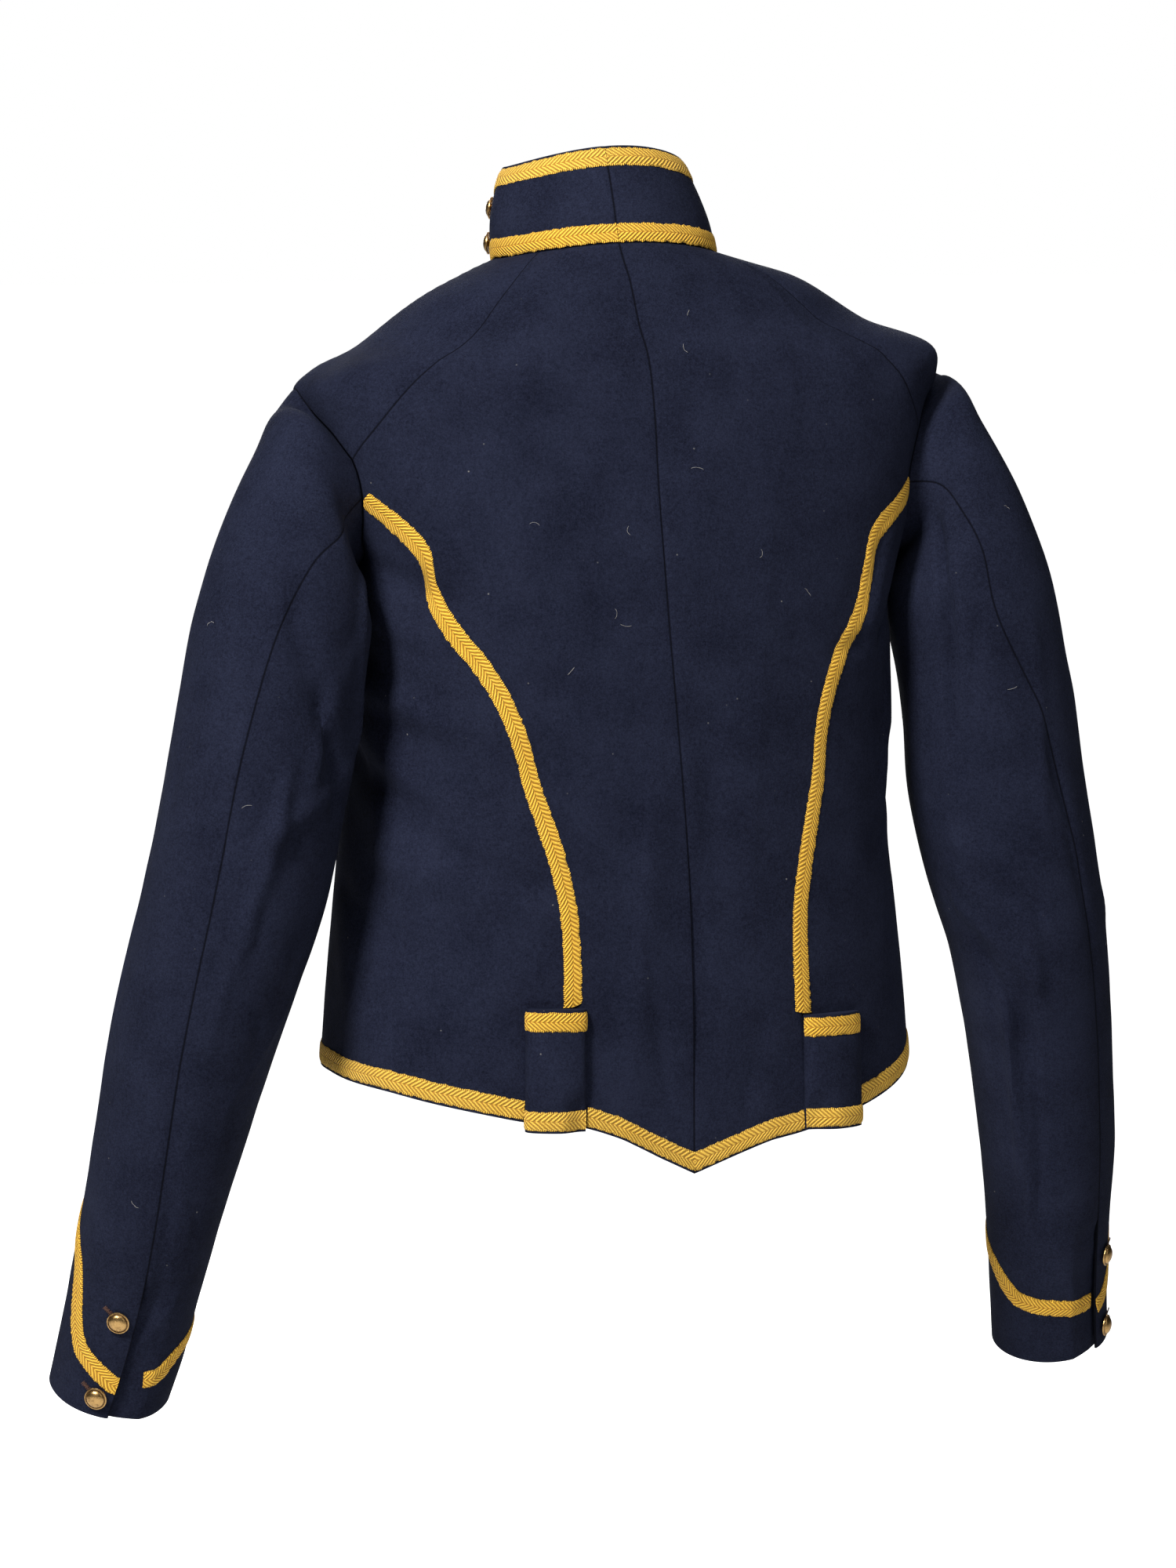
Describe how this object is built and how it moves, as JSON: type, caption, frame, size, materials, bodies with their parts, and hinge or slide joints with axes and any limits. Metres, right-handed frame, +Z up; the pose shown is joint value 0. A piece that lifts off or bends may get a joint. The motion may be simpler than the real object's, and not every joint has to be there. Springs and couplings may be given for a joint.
{
  "type": "shell jacket",
  "caption": "Short waisted wool shell jacket with a standing collar, two piece sleeves, laced seams, buttoned front and belt pads at the back.",
  "frame": {"origin": "middle of the neck at the foot of the collar, where the wearer's shoulders hold the jacket up", "axes": "+Z up, +Y out of the back, +X towards the wearer's left"},
  "size_m": [0.7374, 0.2504, 0.8125],
  "materials": {
    "wool": "fulled wool, matt with a short nap",
    "lace": "worsted herringbone lace, matt",
    "brass": "aged, softly polished"
  },
  "bodies": {
    "root": {"back_left": "wool", "back_right": "wool", "bolster_foot_lace_left": "lace", "bolster_foot_lace_right": "lace", "bolster_left": "wool", "bolster_right": "wool", "bolster_top_lace_left": "lace", "bolster_top_lace_right": "lace", "collar_button_left_1": "brass", "collar_button_left_2": "brass", "collar_button_right_1": "brass", "collar_button_right_2": "brass", "collar_left": "wool", "collar_loop_left_1": "lace", "collar_loop_left_2": "lace", "collar_loop_right_1": "lace", "collar_loop_right_2": "lace", "collar_right": "wool", "collar_seam_lace_left": "lace", "collar_seam_lace_right": "lace", "collar_top_lace_left": "lace", "collar_top_lace_right": "lace", "cuff_button_left_1": "brass", "cuff_button_left_2": "brass", "cuff_button_right_1": "brass", "cuff_button_right_2": "brass", "cuff_lace_top_left": "lace", "cuff_lace_top_right": "lace", "cuff_lace_under_left": "lace", "cuff_lace_under_right": "lace", "front_button_1": "brass", "front_button_10": "brass", "front_button_11": "brass", "front_button_12": "brass", "front_button_2": "brass", "front_button_3": "brass", "front_button_4": "brass", "front_button_5": "brass", "front_button_6": "brass", "front_button_7": "brass", "front_button_8": "brass", "front_button_9": "brass", "front_edge_lace": "lace", "front_left": "wool", "front_right": "wool", "hem_back_lace_left": "lace", "hem_back_lace_right": "lace", "hem_front_lace_left": "lace", "hem_front_lace_right": "lace", "hem_side_lace_left": "lace", "hem_side_lace_right": "lace", "side_back_lace_left": "lace", "side_back_lace_right": "lace", "side_body_left": "wool", "side_body_right": "wool", "top_sleeve_left": "wool", "top_sleeve_right": "wool", "under_sleeve_left": "wool", "under_sleeve_right": "wool"}
  },
  "joints": []
}
